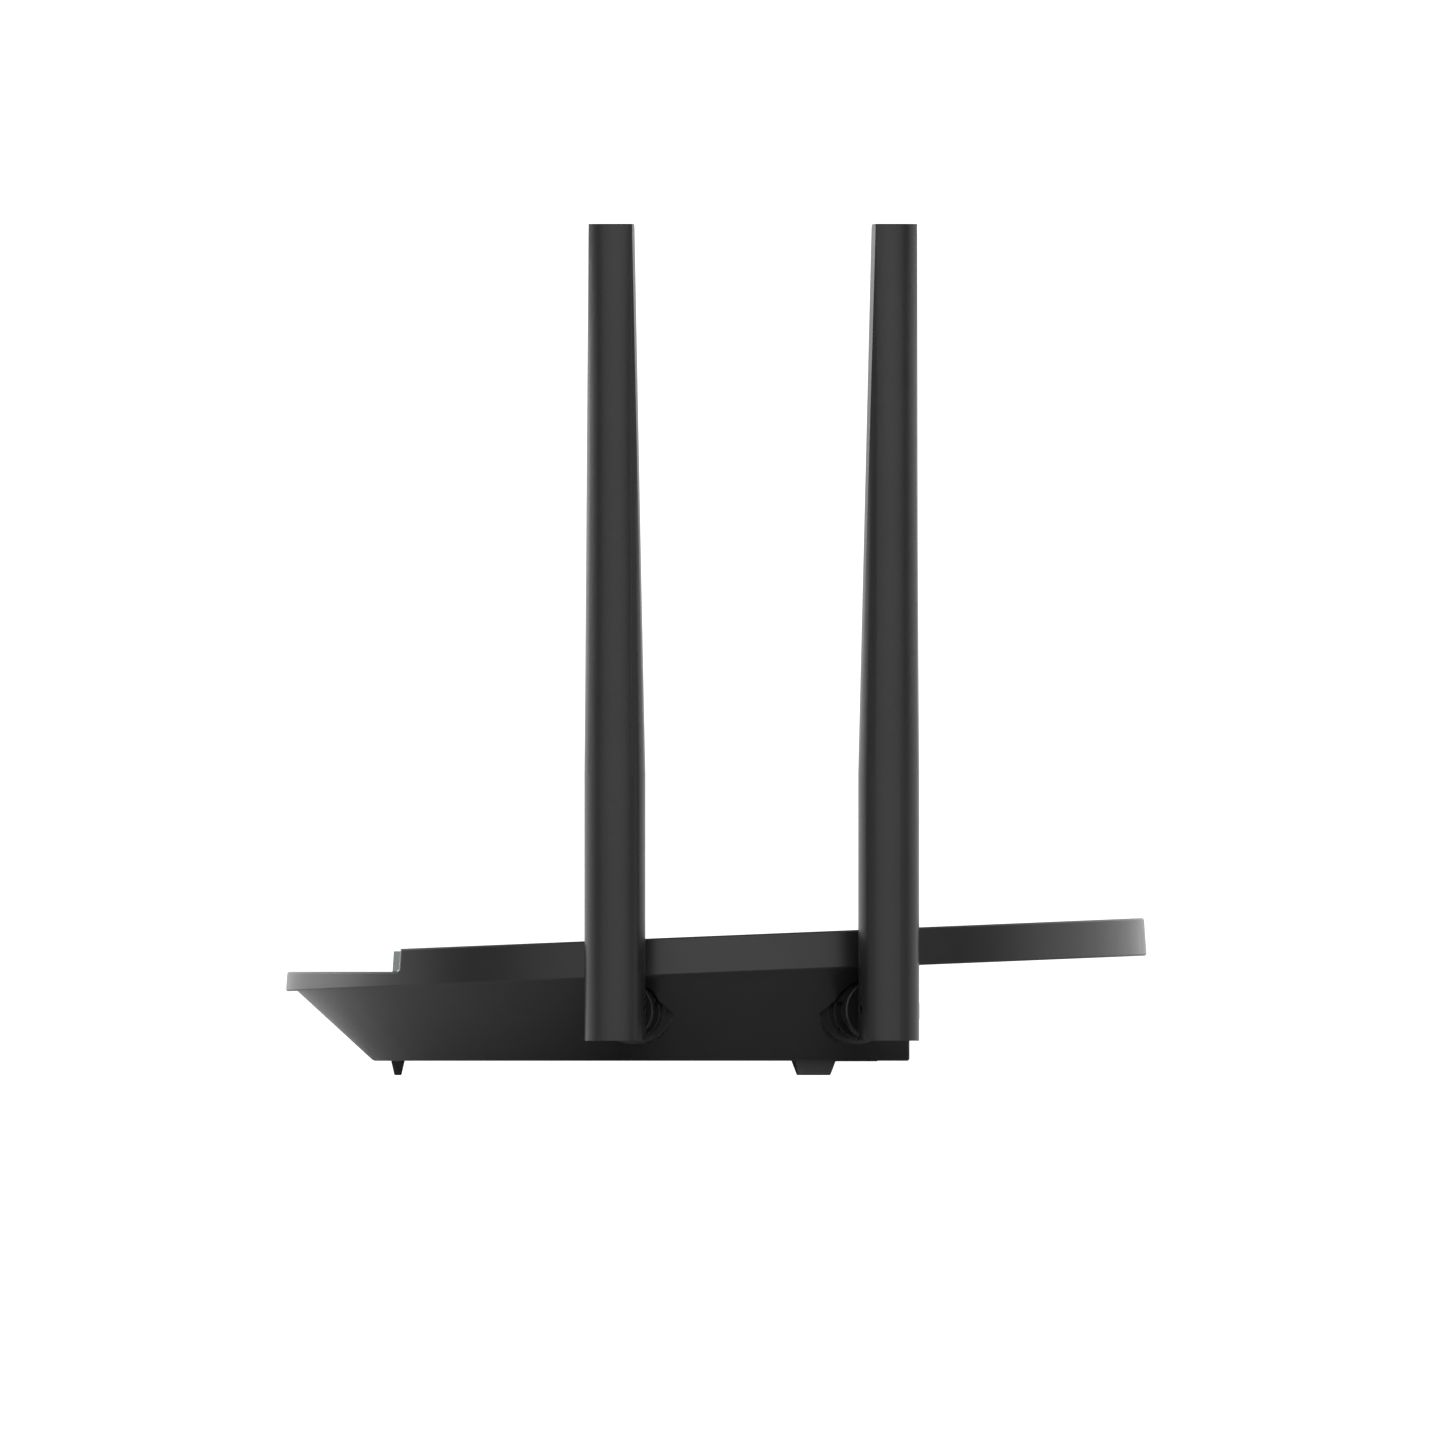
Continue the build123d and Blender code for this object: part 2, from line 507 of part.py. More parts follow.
# Radiator: a narrow board with the end of its coax below it
with BuildPart() as radiator:
    with BuildSketch(Plane.YZ.offset(ANTENNA_OUT + 3.5)):
        with Locations((0, TAPER_FOOT + 4)):
            Rectangle(5.6, TUBE_TOP - TAPER_FOOT - 10, align=(Align.CENTER, Align.MIN))
    extrude(amount=0.6)
    with BuildSketch(tube_axis.offset(PIVOT_HEIGHT + SLOT_REACH + 4)):
        Circle(1.3)
    extrude(amount=TAPER_FOOT - PIVOT_HEIGHT - SLOT_REACH + 6)
    with BuildSketch(tube_axis.offset(TAPER_FOOT + 5)):
        with Locations((1.9, 0)):
            Rectangle(3.8, 1.6)
    extrude(amount=4)

for name, angle in ANTENNA_ANGLES.items():
    write(f"{name}_swivel", Rot(Z=angle) * swivel.part)
    write(f"{name}_retainer", Rot(Z=angle) * retainer.part)
    write(f"{name}_hinge_pin", Rot(Z=angle) * hinge_pin.part)
    write(f"{name}_antenna", Rot(Z=angle) * antenna_tube.part)
    write(f"{name}_antenna_back", Rot(Z=angle) * antenna_back.part)
    write(f"{name}_radiator", Rot(Z=angle) * radiator.part)


# Coax leads: from each board socket out along the swivel axis and into the hollow shaft
for name, angle in ANTENNA_ANGLES.items():
    route = [radial(angle, out, height).from_local_coords((side, 0, 0))
             for out, side, height in LEAD_ROUTE]
    with BuildPart() as lead:
        with BuildLine():
            path = FilletPolyline(*route, radius=LEAD_BEND)
        with BuildSketch(Plane(origin=path @ 0, z_dir=path % 0)):
            Circle(LEAD_RADIUS)
        sweep()
    write(f"{name}_lead", lead.part)

with BuildPart() as antenna_sockets:
    for angle in ANTENNA_ANGLES.values():
        a = radians(angle)
        with BuildSketch(Plane.XY.offset(BOARD_TOP)):
            with Locations((LEAD_ROUTE[0][0] * cos(a), LEAD_ROUTE[0][0] * sin(a))):
                Circle(1.6)
        extrude(amount=LEAD_ROUTE[0][2] + LEAD_RADIUS + 0.7 - BOARD_TOP)
        with BuildSketch(radial(angle, LEAD_ROUTE[0][0] - 0.4, LEAD_ROUTE[0][2])):
            Circle(LEAD_RADIUS + 0.35)
        extrude(amount=3, mode=Mode.SUBTRACT)
write("antenna_sockets", antenna_sockets.part)


# Main board and its screws
with BuildPart() as main_board:
    with BuildSketch(Plane.XY.offset(BOARD_FOOT)):
        with Locations(((BOARD_BACK + BOARD_FRONT) / 2, 0)):
            RectangleRounded(BOARD_BACK - BOARD_FRONT, 2 * BOARD_HALF_WIDTH, 2)
        with Locations(*BOARD_SCREWS):
            Circle(1.2, mode=Mode.SUBTRACT)
    extrude(amount=BOARD_TOP - BOARD_FOOT)
write("main_board", main_board.part)


def screw(head_radius, head_height, shank_radius, shank_length, recess):
    """A pan head screw standing on z = 0 by the underside of its head, shank down."""
    with BuildPart() as made:
        Cylinder(head_radius, head_height, align=(Align.CENTER, Align.CENTER, Align.MIN))
        fillet(made.faces().sort_by(Axis.Z)[-1].edges(), 0.3 * head_height)
        Cylinder(shank_radius, shank_length, align=(Align.CENTER, Align.CENTER, Align.MAX))
        with BuildSketch(Plane.XY.offset(head_height)):
            Rectangle(1.3 * head_radius, recess)
            Rectangle(recess, 1.3 * head_radius)
        extrude(amount=-0.55 * head_height, mode=Mode.SUBTRACT)
    return made.part


board_screw = screw(2.2, 1.3, 0.85, 3.8, 0.5)
write("board_screws", Compound(children=[Pos(x, y, BOARD_TOP) * board_screw for x, y in BOARD_SCREWS]))
case_screw = screw(2.6, 1.8, 1.2, 12.0, 0.6)
write("case_screws", Compound(children=[
    Pos(x, y, BOWL_FLOOR + COUNTERBORE) * Rot(X=180) * case_screw for x, y in CASE_SCREWS]))


# What stands on the board
def blocks(name, plane_height, sizes, thickness):
    """Plain blocks as (x, y, length, width) standing on one height."""
    with BuildPart() as made:
        with BuildSketch(Plane.XY.offset(plane_height)):
            for x, y, length, width in sizes:
                with Locations((x, y)):
                    Rectangle(length, width)
        extrude(amount=thickness)
    write(name, made.part)


CHIP_HEIGHT = 1.4
blocks("board_chips", BOARD_TOP, [(-9, -12, 17, 17), (-9, -35, 13, 9), (6, -30, 8, 6), (4, 44, 9, 9)], CHIP_HEIGHT)
blocks("lan_transformers", BOARD_TOP, [(17, -21, 7.5, 15), (17, 0, 7.5, 15), (17, 20, 7.5, 15)], 4.2)

with BuildPart() as heatsink:
    with BuildSketch(Plane.XY.offset(BOARD_TOP + CHIP_HEIGHT)):
        with Locations((-9, -12)):
            Rectangle(26, 26)
    extrude(amount=2)
    with BuildSketch(Plane.XY.offset(BOARD_TOP + CHIP_HEIGHT + 2)):
        with Locations((-9, -12)):
            with GridLocations(3.55, 1, 8, 1):
                Rectangle(1.1, 26)
    extrude(amount=7)
write("heatsink", heatsink.part)

with BuildPart() as rf_shield:
    with BuildSketch(Plane.XY.offset(BOARD_TOP)):
        with Locations((-12, 21)):
            RectangleRounded(34, 30, 1)
    extrude(amount=3.0)
    offset(amount=-0.3, openings=rf_shield.faces().sort_by(Axis.Z)[:1])
    with BuildSketch(Plane.XY.offset(BOARD_TOP)):
        with Locations((-12, 21)):
            with GridLocations(4, 4, 7, 6):
                Circle(0.8)
    extrude(amount=5, mode=Mode.SUBTRACT)
write("rf_shield", rf_shield.part)

with BuildPart() as capacitors:
    with BuildSketch(Plane.XY.offset(BOARD_TOP)):
        with Locations((4, -42), (4, -50), (-24, -30)):
            Circle(3.15)
    extrude(amount=9)
    chamfer(capacitors.faces().sort_by(Axis.Z)[-3:].edges(), 0.4)
write("capacitors", capacitors.part)


# Network sockets: a stepped cavity for the plug and its latch
jack_middle = BOARD_TOP + JACK_HEIGHT / 2
with BuildPart() as jack:
    with BuildSketch(Plane.YZ.offset(JACK_FACE - JACK_DEPTH)):
        with Locations((0, jack_middle)):
            Rectangle(JACK_WIDTH, JACK_HEIGHT)
    extrude(amount=JACK_DEPTH)
    chamfer(jack.faces().sort_by(Axis.X)[-1].edges(), 0.3)
    with BuildSketch(Plane.YZ.offset(JACK_FACE)):
        with Locations((0, jack_middle + PLUG_RISE)):
            Rectangle(PLUG_WIDTH, PLUG_HEIGHT)
        with Locations((0, jack_middle + PLUG_RISE - PLUG_HEIGHT / 2)):
            Rectangle(6.2, 3.2)
            Rectangle(3.6, 5.4)
    extrude(amount=-PLUG_DEPTH, mode=Mode.SUBTRACT)
for name, y in JACK_Y.items():
    write(name, Pos(0, y, 0) * jack.part)


# Power jack with its centre pin
power_bore = Plane(origin=(JACK_FACE, POWER_JACK_Y, BOARD_TOP + 6.3), x_dir=(0, 1, 0), z_dir=(1, 0, 0))
with BuildPart() as power_jack:
    with BuildSketch(Plane.YZ.offset(JACK_FACE - POWER_JACK_DEPTH)):
        with Locations((POWER_JACK_Y, BOARD_TOP + POWER_JACK_HEIGHT / 2)):
            Rectangle(POWER_JACK_WIDTH, POWER_JACK_HEIGHT)
    extrude(amount=POWER_JACK_DEPTH)
    chamfer(power_jack.faces().sort_by(Axis.X)[-1].edges(), 0.3)
    with BuildSketch(power_bore):
        Circle(POWER_BORE_RADIUS)
    extrude(amount=-POWER_BORE_DEPTH, mode=Mode.SUBTRACT)
    with BuildSketch(power_bore.offset(-POWER_BORE_DEPTH)):
        Circle(POWER_PIN_RADIUS)
    extrude(amount=-2.5, mode=Mode.SUBTRACT)
write("power_jack", power_jack.part)

with BuildPart() as power_jack_pin:
    with BuildSketch(power_bore.offset(-POWER_BORE_DEPTH - 2.5)):
        Circle(POWER_PIN_RADIUS)
    extrude(amount=POWER_BORE_DEPTH + 1.5)
    fillet(power_jack_pin.faces().sort_by(Axis.X)[-1].edges(), 0.5)
write("power_jack_pin", power_jack_pin.part)


# Power button: a square cap whose stem slides in the body of a latching switch
with BuildPart() as power_button:
    with BuildSketch(Plane.YZ.offset(POWER_CAP_BACK)):
        with Locations((POWER_BUTTON_Y, BUTTON_Z)):
            RectangleRounded(POWER_BUTTON_SIZE, POWER_BUTTON_SIZE, 0.8)
    extrude(amount=PANEL_X + POWER_BUTTON_PROUD - POWER_CAP_BACK)
    fillet(power_button.faces().sort_by(Axis.X)[-1].edges(), 0.5)
    with BuildSketch(Plane.YZ.offset(POWER_STEM_END)):
        with Locations((POWER_BUTTON_Y, BUTTON_Z)):
            Rectangle(2.8, 2.8)
    extrude(amount=POWER_CAP_BACK - POWER_STEM_END)
write("power_button", power_button.part)

with BuildPart() as power_switch:
    with BuildSketch(Plane.YZ.offset(POWER_STEM_END - POWER_BUTTON_TRAVEL - 1)):
        with Locations((POWER_BUTTON_Y, BOARD_TOP)):
            Rectangle(8, 9.5, align=(Align.CENTER, Align.MIN))
        with Locations((POWER_BUTTON_Y, BUTTON_Z)):
            Rectangle(3.4, 3.4, mode=Mode.SUBTRACT)
    extrude(amount=8)
write("power_switch", power_switch.part)


# WPS button with a collar behind the panel, and the reset plunger at the bottom of its hole
with BuildPart() as wps_button:
    with BuildSketch(Plane.YZ.offset(WPS_BACK)):
        with Locations((WPS_Y, BUTTON_Z)):
            Circle(WPS_RADIUS)
    extrude(amount=PANEL_X + 1.0 - WPS_BACK)
    fillet(wps_button.faces().sort_by(Axis.X)[-1].edges(), 0.4)
    with BuildSketch(Plane.YZ.offset(WPS_BACK)):
        with Locations((WPS_Y, BUTTON_Z)):
            Circle(WPS_RADIUS + 0.8)
    extrude(amount=1.7)
write("wps_button", wps_button.part)


def tact_switch(name, y, width, face):
    """A push switch body standing on the board, its actuator side at a given X."""
    with BuildPart() as made:
        with BuildSketch(Plane.YZ.offset(face - 3.4)):
            with Locations((y, BOARD_TOP)):
                Rectangle(width, 8.5, align=(Align.CENTER, Align.MIN))
        extrude(amount=3.4)
        with BuildSketch(Plane.YZ.offset(face)):
            with Locations((y, BUTTON_Z)):
                Circle(RESET_PLUNGER_RADIUS + BUTTON_GAP)
        extrude(amount=-2.2, mode=Mode.SUBTRACT)
    write(name, made.part)


tact_switch("wps_switch", WPS_Y, 5.6, WPS_BACK - 1.0)
tact_switch("reset_switch", RESET_Y, 4.0, RESET_FACE)
with BuildPart() as reset_plunger:
    with BuildSketch(Plane.YZ.offset(RESET_FACE - 1.5)):
        with Locations((RESET_Y, BUTTON_Z)):
            Circle(RESET_PLUNGER_RADIUS)
    extrude(amount=3.3)
write("reset_plunger", reset_plunger.part)
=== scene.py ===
import json
import math
import bpy
import bmesh
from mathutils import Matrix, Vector


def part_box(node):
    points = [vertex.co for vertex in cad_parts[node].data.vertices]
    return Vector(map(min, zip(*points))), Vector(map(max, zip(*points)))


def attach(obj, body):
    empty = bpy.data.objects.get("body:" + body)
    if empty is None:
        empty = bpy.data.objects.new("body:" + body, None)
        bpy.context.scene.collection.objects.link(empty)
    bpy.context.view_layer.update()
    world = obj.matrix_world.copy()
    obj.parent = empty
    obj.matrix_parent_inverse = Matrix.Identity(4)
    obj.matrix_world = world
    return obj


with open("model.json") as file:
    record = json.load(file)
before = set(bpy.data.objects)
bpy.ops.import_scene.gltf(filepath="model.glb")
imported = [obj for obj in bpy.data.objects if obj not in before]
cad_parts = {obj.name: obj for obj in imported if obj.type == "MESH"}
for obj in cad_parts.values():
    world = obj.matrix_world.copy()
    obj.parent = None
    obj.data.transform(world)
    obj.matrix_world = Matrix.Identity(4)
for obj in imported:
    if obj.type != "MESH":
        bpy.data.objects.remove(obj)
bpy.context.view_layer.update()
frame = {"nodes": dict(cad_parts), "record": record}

# A wireless router. Metres, +Z up; the front is -X, the socket panel faces +X.
MM = 0.001
nodes = frame["nodes"]
scene = bpy.context.scene


# ---------------------------------------------------------------- camera, light and floor

VIEW_WIDTH = 0.3083
VIEW_AIM = Vector((0.0017, 0.0, 0.0743))
CAMERA_DISTANCE = 1.2
FLOOR_REACH = 2.5
FLOOR_TONE = 0.86
# brightness from the camera's side (0) round to the far side (1)
STUDIO_LEVELS = [
    (0.0, 1.08), (0.12, 1.02), (0.26, 0.22), (0.36, 0.12), (0.46, 0.62), (0.58, 1.12), (1.0, 1.25),
]
# the studio fades between these two heights of the direction, down to this share of its brightness
FADE_START, FADE_END, OVERHEAD_SHARE = 0.6, 0.9, 0.45
LAMP_TARGET = Vector((0, 0, 0.06))


def make_camera():
    data = bpy.data.cameras.new("camera")
    data.type = "ORTHO"
    data.ortho_scale = VIEW_WIDTH
    data.clip_start, data.clip_end = 0.01, 20
    camera = bpy.data.objects.new("camera", data)
    camera.location = VIEW_AIM + Vector((0, -CAMERA_DISTANCE, 0))
    camera.rotation_euler = (math.radians(90), 0, 0)
    scene.collection.objects.link(camera)
    scene.camera = camera


def make_world():
    """A white studio, dimmer overhead and in a band to the left and right of the front."""
    world = bpy.data.worlds.new("studio")
    world.use_nodes = True
    tree = world.node_tree
    background = tree.nodes["Background"]
    place = tree.nodes.new("ShaderNodeTexCoord")
    split = tree.nodes.new("ShaderNodeSeparateXYZ")
    spread = tree.nodes.new("ShaderNodeMapRange")
    spread.inputs["From Min"].default_value = -1
    ramp = tree.nodes.new("ShaderNodeValToRGB")
    while len(ramp.color_ramp.elements) < len(STUDIO_LEVELS):
        ramp.color_ramp.elements.new(0.5)
    for element, (position, level) in zip(ramp.color_ramp.elements, STUDIO_LEVELS):
        element.position = position
        element.color = (level, level, level, 1)
    tree.links.new(place.outputs["Generated"], split.inputs[0])
    tree.links.new(split.outputs["Y"], spread.inputs["Value"])
    tree.links.new(spread.outputs["Result"], ramp.inputs["Fac"])
    overhead = tree.nodes.new("ShaderNodeMapRange")
    fade = (FADE_START, FADE_END, 1.0, OVERHEAD_SHARE)
    for socket, number in zip(("From Min", "From Max", "To Min", "To Max"), fade):
        overhead.inputs[socket].default_value = number
    tree.links.new(split.outputs["Z"], overhead.inputs["Value"])
    tree.links.new(overhead.outputs["Result"], background.inputs["Strength"])
    tree.links.new(ramp.outputs["Color"], background.inputs["Color"])
    scene.world = world


def make_softbox(name, place, size, watts):
    data = bpy.data.lights.new(name, "AREA")
    data.shape = "RECTANGLE"
    data.size, data.size_y = size
    data.energy = watts
    lamp = bpy.data.objects.new(name, data)
    lamp.location = place
    lamp.rotation_mode = "QUATERNION"
    lamp.rotation_quaternion = (LAMP_TARGET - Vector(place)).to_track_quat("-Z", "Y")
    scene.collection.objects.link(lamp)


def make_floor():
    mesh = bpy.data.meshes.new("floor")
    corners = [(x * FLOOR_REACH, y * FLOOR_REACH, 0) for x, y in ((-1, -1), (1, -1), (1, 1), (-1, 1))]
    mesh.from_pydata(corners, [], [(0, 1, 2, 3)])
    floor = bpy.data.objects.new("floor", mesh)
    scene.collection.objects.link(floor)
    material = bpy.data.materials.new("floor_pale")
    material.use_nodes = True
    shader = material.node_tree.nodes["Principled BSDF"]
    shader.inputs["Base Color"].default_value = (FLOOR_TONE, FLOOR_TONE, FLOOR_TONE, 1)
    shader.inputs["Roughness"].default_value = 0.7
    mesh.materials.append(material)


# ---------------------------------------------------------------- materials

class Finish:
    """A procedural material on one Principled shader, with small helpers for its nodes."""

    def __init__(self, name, metallic=0.0, **sockets):
        self.material = bpy.data.materials.new(name)
        self.material.use_nodes = True
        self.tree = self.material.node_tree
        self.shader = self.tree.nodes["Principled BSDF"]
        self.shader.inputs["Metallic"].default_value = metallic
        for socket, value in sockets.items():
            self.shader.inputs[socket.replace("_", " ")].default_value = value
        self.place = self.node("ShaderNodeTexCoord").outputs["Object"]

    def node(self, kind, **settings):
        made = self.tree.nodes.new(kind)
        for key, value in settings.items():
            setattr(made, key, value)
        return made

    def link(self, start, end):
        self.tree.links.new(start, end)

    def noise(self, size, detail=2.0, stretch=(1, 1, 1)):
        """Noise whose features are about the given size in metres."""
        mapping = self.node("ShaderNodeMapping")
        mapping.inputs["Scale"].default_value = stretch
        texture = self.node("ShaderNodeTexNoise")
        texture.inputs["Scale"].default_value = 1 / size
        texture.inputs["Detail"].default_value = detail
        self.link(self.place, mapping.inputs["Vector"])
        self.link(mapping.outputs["Vector"], texture.inputs["Vector"])
        return texture.outputs["Fac"]

    def spread(self, value, low, high, start=0.3, end=0.7):
        made = self.node("ShaderNodeMapRange")
        for socket, number in zip(("From Min", "From Max", "To Min", "To Max"), (start, end, low, high)):
            made.inputs[socket].default_value = number
        self.link(value, made.inputs["Value"])
        return made.outputs["Result"]

    def mix(self, factor, first, second):
        made = self.node("ShaderNodeMix", data_type="RGBA")
        self.link(factor, made.inputs["Factor"])
        for index, colour in ((6, first), (7, second)):
            if isinstance(colour, tuple):
                made.inputs[index].default_value = (*colour, 1)
            else:
                self.link(colour, made.inputs[index])
        return made.outputs[2]

    def rounded(self, radius):
        """Normals as if every edge had this radius."""
        bevel = self.node("ShaderNodeBevel", samples=8)
        bevel.inputs["Radius"].default_value = radius
        return bevel.outputs["Normal"]

    def edges(self, radius):
        """1 along edges and 0 on open faces."""
        geometry = self.node("ShaderNodeNewGeometry")
        dot = self.node("ShaderNodeVectorMath", operation="DOT_PRODUCT")
        self.link(self.rounded(radius), dot.inputs[0])
        self.link(geometry.outputs["Normal"], dot.inputs[1])
        return self.spread(dot.outputs["Value"], 1.0, 0.0, 0.75, 0.99)

    def bump(self, height, depth, normal=None):
        made = self.node("ShaderNodeBump")
        made.inputs["Distance"].default_value = depth
        self.link(height, made.inputs["Height"])
        if normal is not None:
            self.link(normal, made.inputs["Normal"])
        return made.outputs["Normal"]

    def colour(self, value):
        self.link(value, self.shader.inputs["Base Color"])

    def roughness(self, value):
        self.link(value, self.shader.inputs["Roughness"])

    def normal(self, value):
        self.link(value, self.shader.inputs["Normal"])


def shades(colour, change):
    return tuple(min(1.0, channel * change) for channel in colour)


def moulded(name, colour, rough, grain=0.35 * MM, grain_depth=0.003 * MM, wear=1.5, edge=0.12 * MM,
            **sockets):
    """Injection-moulded plastic: spark-eroded grain, faint flow marks, rubbed edges."""
    made = Finish(name, **sockets)
    cloudy = made.noise(18 * MM, detail=4)
    base = made.mix(made.spread(cloudy, 0, 1), shades(colour, 0.88), shades(colour, 1.12))
    worn = made.mix(made.edges(2 * edge), base, shades(colour, wear))
    made.colour(worn)
    smear = made.noise(7 * MM, detail=5)
    made.roughness(made.spread(smear, rough - 0.015, rough + 0.015))
    made.normal(made.bump(made.noise(grain, detail=3), grain_depth, made.rounded(edge)))
    return made


def metal(name, colour, rough, stretch=(1, 1, 1), edge=0.1 * MM):
    """Plain or brushed metal: fine lines along one direction, dull patches."""
    made = Finish(name, metallic=1.0)
    lines = made.noise(0.25 * MM, detail=3, stretch=stretch)
    patches = made.noise(4 * MM, detail=3)
    made.colour(made.mix(made.spread(patches, 0, 1), shades(colour, 0.85), shades(colour, 1.05)))
    made.roughness(made.spread(lines, rough - 0.07, rough + 0.07))
    made.normal(made.bump(lines, 0.004 * MM, made.rounded(edge)))
    return made


def smoked_window(name):
    """Smoked translucent bar: a little light passes, the face is polished."""
    made = Finish(name, IOR=1.58, Transmission_Weight=0.05)
    cloudy = made.noise(9 * MM, detail=2)
    made.colour(made.mix(made.spread(cloudy, 0, 1), (0.195, 0.222, 0.220), (0.205, 0.233, 0.231)))
    made.roughness(made.spread(made.noise(3 * MM), 0.26, 0.34))
    made.normal(made.rounded(0.1 * MM))
    return made


def circuit_board(name):
    """Green solder mask over tracks: fine lines in two directions and small pads."""
    made = Finish(name)
    across = made.noise(0.9 * MM, detail=0, stretch=(0.06, 1, 1))
    along = made.noise(0.9 * MM, detail=0, stretch=(1, 0.06, 1))
    pattern = made.node("ShaderNodeMath", operation="MAXIMUM")
    made.link(made.spread(across, 0, 1, 0.55, 0.57), pattern.inputs[0])
    made.link(made.spread(along, 0, 1, 0.58, 0.60), pattern.inputs[1])
    tracks = pattern.outputs["Value"]
    mask = made.mix(tracks, (0.008, 0.060, 0.022), (0.020, 0.125, 0.045))
    pads = made.node("ShaderNodeTexVoronoi")
    pads.inputs["Scale"].default_value = 1 / (3.2 * MM)
    made.link(made.place, pads.inputs["Vector"])
    spots = made.spread(pads.outputs["Distance"], 1, 0, 0.10, 0.13)
    made.colour(made.mix(spots, mask, (0.62, 0.55, 0.36)))
    made.roughness(made.spread(made.noise(5 * MM), 0.25, 0.38))
    made.normal(made.bump(tracks, 0.02 * MM))
    return made


def label_paper(name):
    """Blank silver film with a faint grain."""
    made = Finish(name, metallic=0.35)
    made.colour(made.mix(made.spread(made.noise(2 * MM), 0, 1), (0.42, 0.42, 0.43), (0.50, 0.50, 0.50)))
    made.roughness(made.spread(made.noise(6 * MM, 4), 0.34, 0.46))
    made.normal(made.bump(made.noise(0.3 * MM), 0.004 * MM))
    return made


BLACK = (0.0125, 0.0125, 0.013)
finishes = {
    "case_black": moulded("case_black", BLACK, 0.31),
    "antenna_black": moulded("antenna_black", BLACK, 0.29, grain_depth=0.0015 * MM),
    "hinge_black": moulded("hinge_black", (0.011, 0.011, 0.0115), 0.28),
    "window_smoke": smoked_window("window_smoke"),
    "guide_clear": moulded("guide_clear", (0.75, 0.78, 0.78), 0.15, wear=1.0, Transmission_Weight=0.8),
    "led_white": moulded("led_white", (0.80, 0.79, 0.72), 0.3, wear=1.1),
    "board_green": circuit_board("board_green"),
    "ribbon_white": moulded("ribbon_white", (0.70, 0.70, 0.68), 0.4, wear=1.0),
    "foot_rubber": moulded("foot_rubber", (0.085, 0.085, 0.085), 0.5, grain=0.5 * MM, grain_depth=0.008 * MM),
    "screw_zinc": metal("screw_zinc", (0.52, 0.52, 0.50), 0.32),
    "clip_steel": metal("clip_steel", (0.42, 0.42, 0.42), 0.28, stretch=(0.1, 1, 1)),
    "sink_aluminium": metal("sink_aluminium", (0.70, 0.70, 0.71), 0.42, stretch=(1, 0.05, 1)),
    "shield_steel": metal("shield_steel", (0.60, 0.60, 0.58), 0.30),
    "chip_black": moulded("chip_black", (0.020, 0.020, 0.022), 0.5),
    "contact_brass": metal("contact_brass", (0.80, 0.58, 0.24), 0.22),
    "port_blue": moulded("port_blue", (0.010, 0.10, 0.36), 0.30, wear=1.4),
    "port_yellow": moulded("port_yellow", (0.70, 0.38, 0.02), 0.30, wear=1.2),
    "jack_black": moulded("jack_black", (0.013, 0.013, 0.013), 0.28),
    "button_black": moulded("button_black", (0.017, 0.017, 0.0175), 0.38),
    "plunger_grey": moulded("plunger_grey", (0.30, 0.30, 0.30), 0.4, wear=1.2),
    "lead_black": moulded("lead_black", (0.013, 0.013, 0.013), 0.45, wear=1.2),
}


def dress_nodes():
    """Every CAD node takes the finish of its material slot."""
    for entry in frame["record"]["subparts"]:
        data = nodes[entry["node"]].data
        data.materials.clear()
        data.materials.append(finishes[entry["material_slot"]].material)


# ---------------------------------------------------------------- added pieces

def add_piece(name, data, body, finish):
    piece = bpy.data.objects.new(name, data)
    scene.collection.objects.link(piece)
    data.materials.append(finish.material)
    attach(piece, body)
    return piece


def wire_curve(name, runs, radius):
    """Straight-run wires of a round section; each run is a list of points."""
    curve = bpy.data.curves.new(name, "CURVE")
    curve.dimensions = "3D"
    curve.bevel_depth = radius
    curve.bevel_resolution = 2
    curve.use_fill_caps = True
    for points in runs:
        spline = curve.splines.new("POLY")
        spline.points.add(len(points) - 1)
        for point, place in zip(spline.points, points):
            point.co = (*place, 1)
    return curve


CONTACT_PITCH = 1.02 * MM
CONTACT_RADIUS = 0.2 * MM
CONTACT_ROOF = 1.8 * MM  # roof of the cavity, below the top of the socket body
# one contact from its root near the socket's face: distance in from the face, height from the roof, in mm
CONTACT_PROFILE = [(-3.0, -0.25), (-4.2, -0.3), (-9.8, -2.3), (-11.8, -2.2), (-12.9, -1.2)]


def add_contacts(port):
    """Eight sprung contact wires that slant down into a network socket."""
    low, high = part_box(port)
    middle = (low.y + high.y) / 2
    roof = high.z - CONTACT_ROOF
    runs = []
    for index in range(8):
        y = middle + (index - 3.5) * CONTACT_PITCH
        runs.append([(high.x + x * MM, y, roof + z * MM) for x, z in CONTACT_PROFILE])
    curve = wire_curve(port + "_contacts", runs, CONTACT_RADIUS)
    add_piece(port + "_contacts", curve, "case", finishes["contact_brass"])


MARK_RADIUS = 1.5 * MM
MARK_LINE_RADIUS = 0.14 * MM
MARK_GAP = math.radians(35)  # half of the gap at the top of the ring
MARK_STEPS = 24


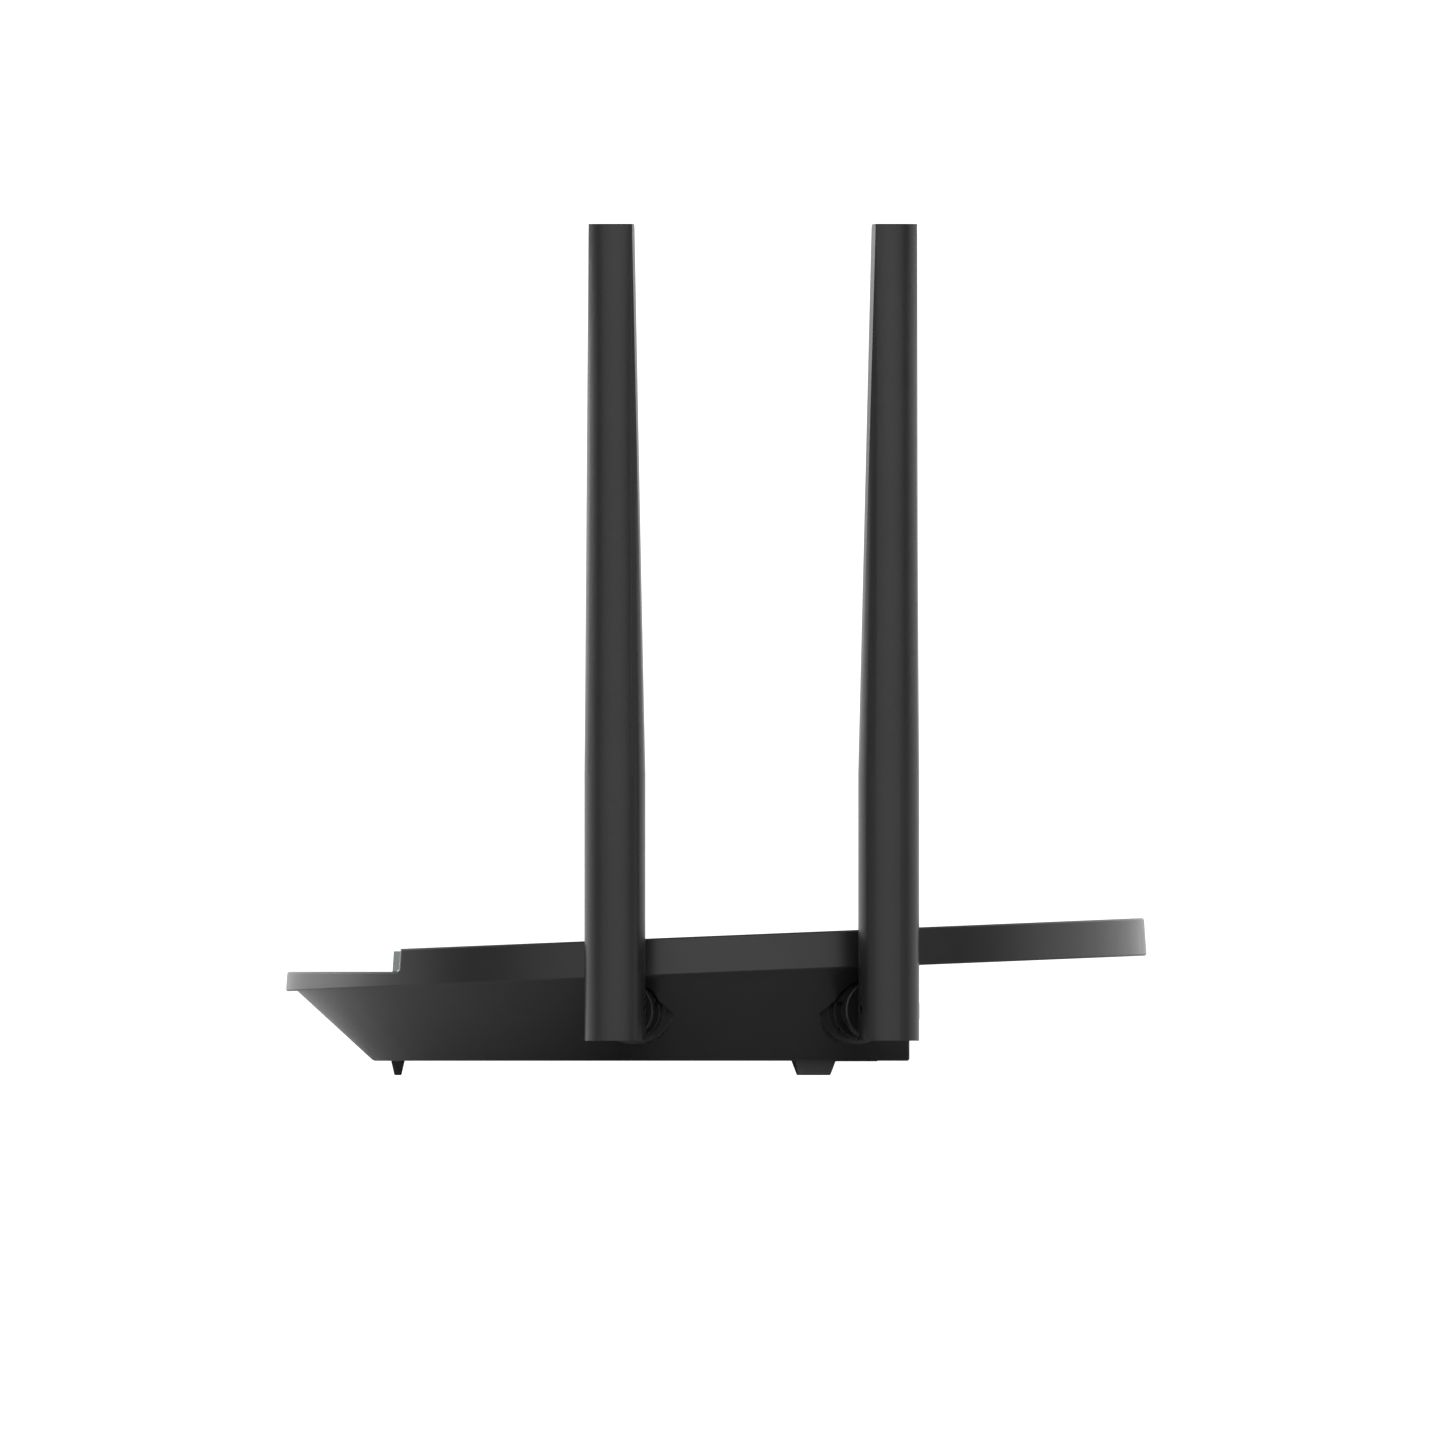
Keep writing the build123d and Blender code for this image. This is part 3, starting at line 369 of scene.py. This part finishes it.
def add_power_mark():
    """The usual broken ring and bar, inlaid in the face of the power button."""
    low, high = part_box("power_button")
    centre = (low + high) / 2
    arc = []
    for step in range(MARK_STEPS + 1):
        angle = math.pi / 2 + MARK_GAP + (2 * math.pi - 2 * MARK_GAP) * step / MARK_STEPS
        across, up = MARK_RADIUS * math.cos(angle), MARK_RADIUS * math.sin(angle)
        arc.append((high.x, centre.y + across, centre.z + up))
    bar = [(high.x, centre.y, centre.z + 0.3 * MARK_RADIUS), (high.x, centre.y, centre.z + 1.2 * MARK_RADIUS)]
    paint = moulded("mark_white", (0.62, 0.62, 0.60), 0.45, wear=1.0)
    curve = wire_curve("power_mark", [arc, bar], MARK_LINE_RADIUS)
    add_piece("power_mark", curve, "power_button", paint)


LABEL_CENTRE = Vector((26 * MM, 0))
LABEL_HALF = Vector((8 * MM, 30 * MM))
LABEL_CORNER = 1.5 * MM
LABEL_THICKNESS = 0.12 * MM
CORNER_STEPS = 5


def add_label():
    """A blank rounded label on the underside."""
    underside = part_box("lower_case")[0].z
    inset = LABEL_HALF - Vector((LABEL_CORNER, LABEL_CORNER))
    shape = bmesh.new()
    ring = []
    for quarter, (sx, sy) in enumerate(((1, 1), (-1, 1), (-1, -1), (1, -1))):
        for step in range(CORNER_STEPS + 1):
            angle = math.pi / 2 * (quarter + step / CORNER_STEPS)
            x = LABEL_CENTRE.x + sx * inset.x + LABEL_CORNER * math.cos(angle)
            y = LABEL_CENTRE.y + sy * inset.y + LABEL_CORNER * math.sin(angle)
            ring.append(shape.verts.new((x, y, underside)))
    face = shape.faces.new(ring)
    lifted = bmesh.ops.extrude_face_region(shape, geom=[face])["geom"]
    moved = [item for item in lifted if isinstance(item, bmesh.types.BMVert)]
    bmesh.ops.translate(shape, verts=moved, vec=(0, 0, -LABEL_THICKNESS))
    bmesh.ops.recalc_face_normals(shape, faces=shape.faces)
    mesh = bpy.data.meshes.new("underside_label")
    shape.to_mesh(mesh)
    shape.free()
    add_piece("underside_label", mesh, "case", label_paper("label_film"))


make_camera()
make_world()
make_softbox("key_front", (0.1, -1.4, 0.9), (1.2, 0.8), 6)
make_softbox("side_left", (-1.1, 0.75, 0.5), (0.7, 0.7), 4)
make_floor()
dress_nodes()
for port in ("wan_port", "lan_port_1", "lan_port_2", "lan_port_3", "lan_port_4"):
    add_contacts(port)
add_power_mark()
add_label()
scene.view_settings.view_transform = "Standard"
